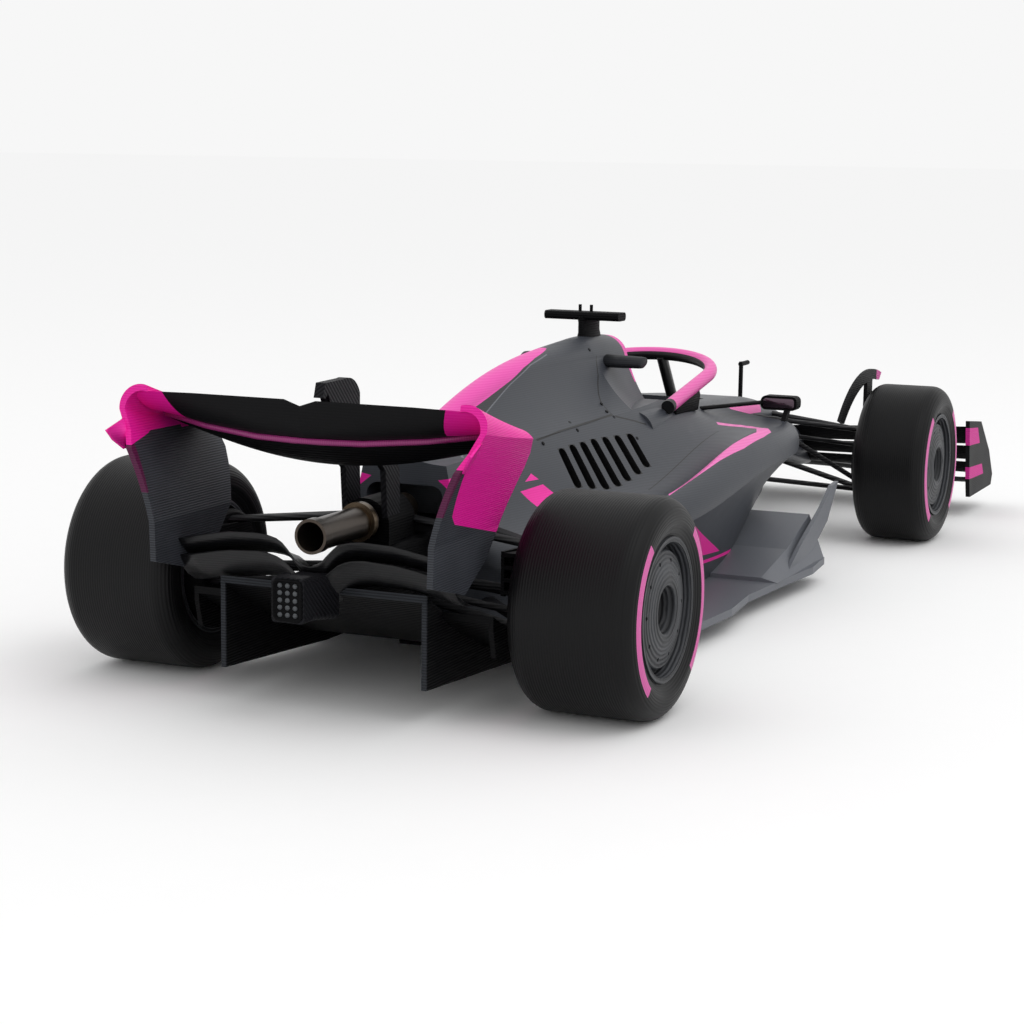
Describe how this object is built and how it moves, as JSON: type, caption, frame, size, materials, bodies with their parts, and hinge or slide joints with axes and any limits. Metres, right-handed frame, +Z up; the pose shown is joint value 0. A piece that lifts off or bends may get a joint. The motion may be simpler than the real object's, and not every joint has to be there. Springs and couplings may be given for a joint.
{
  "type": "open wheel racing car scale model",
  "caption": "Printed scale model of a single-seat open wheel racing car with front and rear wings, halo, undercut sidepods, diffuser and freely turning slick-tyred wheels.",
  "frame": {"origin": "on the ground under the middle of the car's overall length and width", "axes": "+X towards the nose, +Y to the car's left, +Z up"},
  "size_m": [0.3028, 0.112, 0.0633],
  "materials": {
    "grey_body": "matte printed plastic",
    "grey_floor": "matte printed plastic",
    "black_print": "matte printed plastic with layer lines",
    "pink_print": "neon paint over printed plastic",
    "light_panel": "dark block with pale dots",
    "gunmetal": "metallic paint",
    "wheel_grey": "matte printed plastic with rings",
    "slick_tyre": "smooth black with fine rings"
  },
  "bodies": {
    "chassis": {"airbox": "grey_body", "beam_wing": "black_print", "camera_horns": "black_print", "crash_structure": "black_print", "diffuser": "black_print", "driveshafts": "black_print", "engine_cover": "grey_body", "exhaust_fairing": "black_print", "exhaust_pipe": "gunmetal", "flap_actuator": "black_print", "floor": "grey_floor", "floor_inlets": "grey_floor", "front_lower_wishbones": "black_print", "front_push_rods": "black_print", "front_track_rods": "black_print", "front_upper_wishbones": "black_print", "front_wing_endplates": "pink_print", "front_wing_flaps": "black_print", "front_wing_main_plane": "black_print", "gearbox_casing": "black_print", "halo": "pink_print", "headrest": "black_print", "mirrors": "black_print", "monocoque": "grey_body", "nose_cone": "grey_body", "plank": "black_print", "rain_light": "light_panel", "rear_lower_wishbones": "black_print", "rear_toe_links": "black_print", "rear_upper_wishbones": "black_print", "rear_wing_endplates": "pink_print", "rear_wing_flap": "black_print", "rear_wing_main_plane": "black_print", "rear_wing_pylons": "black_print", "roof_camera": "black_print", "seat": "black_print", "sidepod_left": "grey_body", "sidepod_right": "grey_body", "speed_probe": "black_print", "steering_wheel": "black_print", "upright_front_left": "black_print", "upright_front_right": "black_print", "upright_rear_left": "black_print", "upright_rear_right": "black_print"},
    "road_wheel_front_left": {"wheel_front_left": "wheel_grey", "tyre_front_left": "slick_tyre"},
    "road_wheel_front_right": {"wheel_front_right": "wheel_grey", "tyre_front_right": "slick_tyre"},
    "road_wheel_rear_left": {"wheel_rear_left": "wheel_grey", "tyre_rear_left": "slick_tyre"},
    "road_wheel_rear_right": {"wheel_rear_right": "wheel_grey", "tyre_rear_right": "slick_tyre"}
  },
  "joints": [
    {"name": "front_left_wheel_turn", "type": "hinge", "parent": "chassis", "child": "road_wheel_front_left", "pos_m": [0.0818, 0, 0.0194], "axis": [0, 1, 0], "continuous": true},
    {"name": "front_right_wheel_turn", "type": "hinge", "parent": "chassis", "child": "road_wheel_front_right", "pos_m": [0.0818, 0, 0.0194], "axis": [0, 1, 0], "continuous": true},
    {"name": "rear_left_wheel_turn", "type": "hinge", "parent": "chassis", "child": "road_wheel_rear_left", "pos_m": [-0.1182, 0, 0.0194], "axis": [0, 1, 0], "continuous": true},
    {"name": "rear_right_wheel_turn", "type": "hinge", "parent": "chassis", "child": "road_wheel_rear_right", "pos_m": [-0.1182, 0, 0.0194], "axis": [0, 1, 0], "continuous": true}
  ]
}
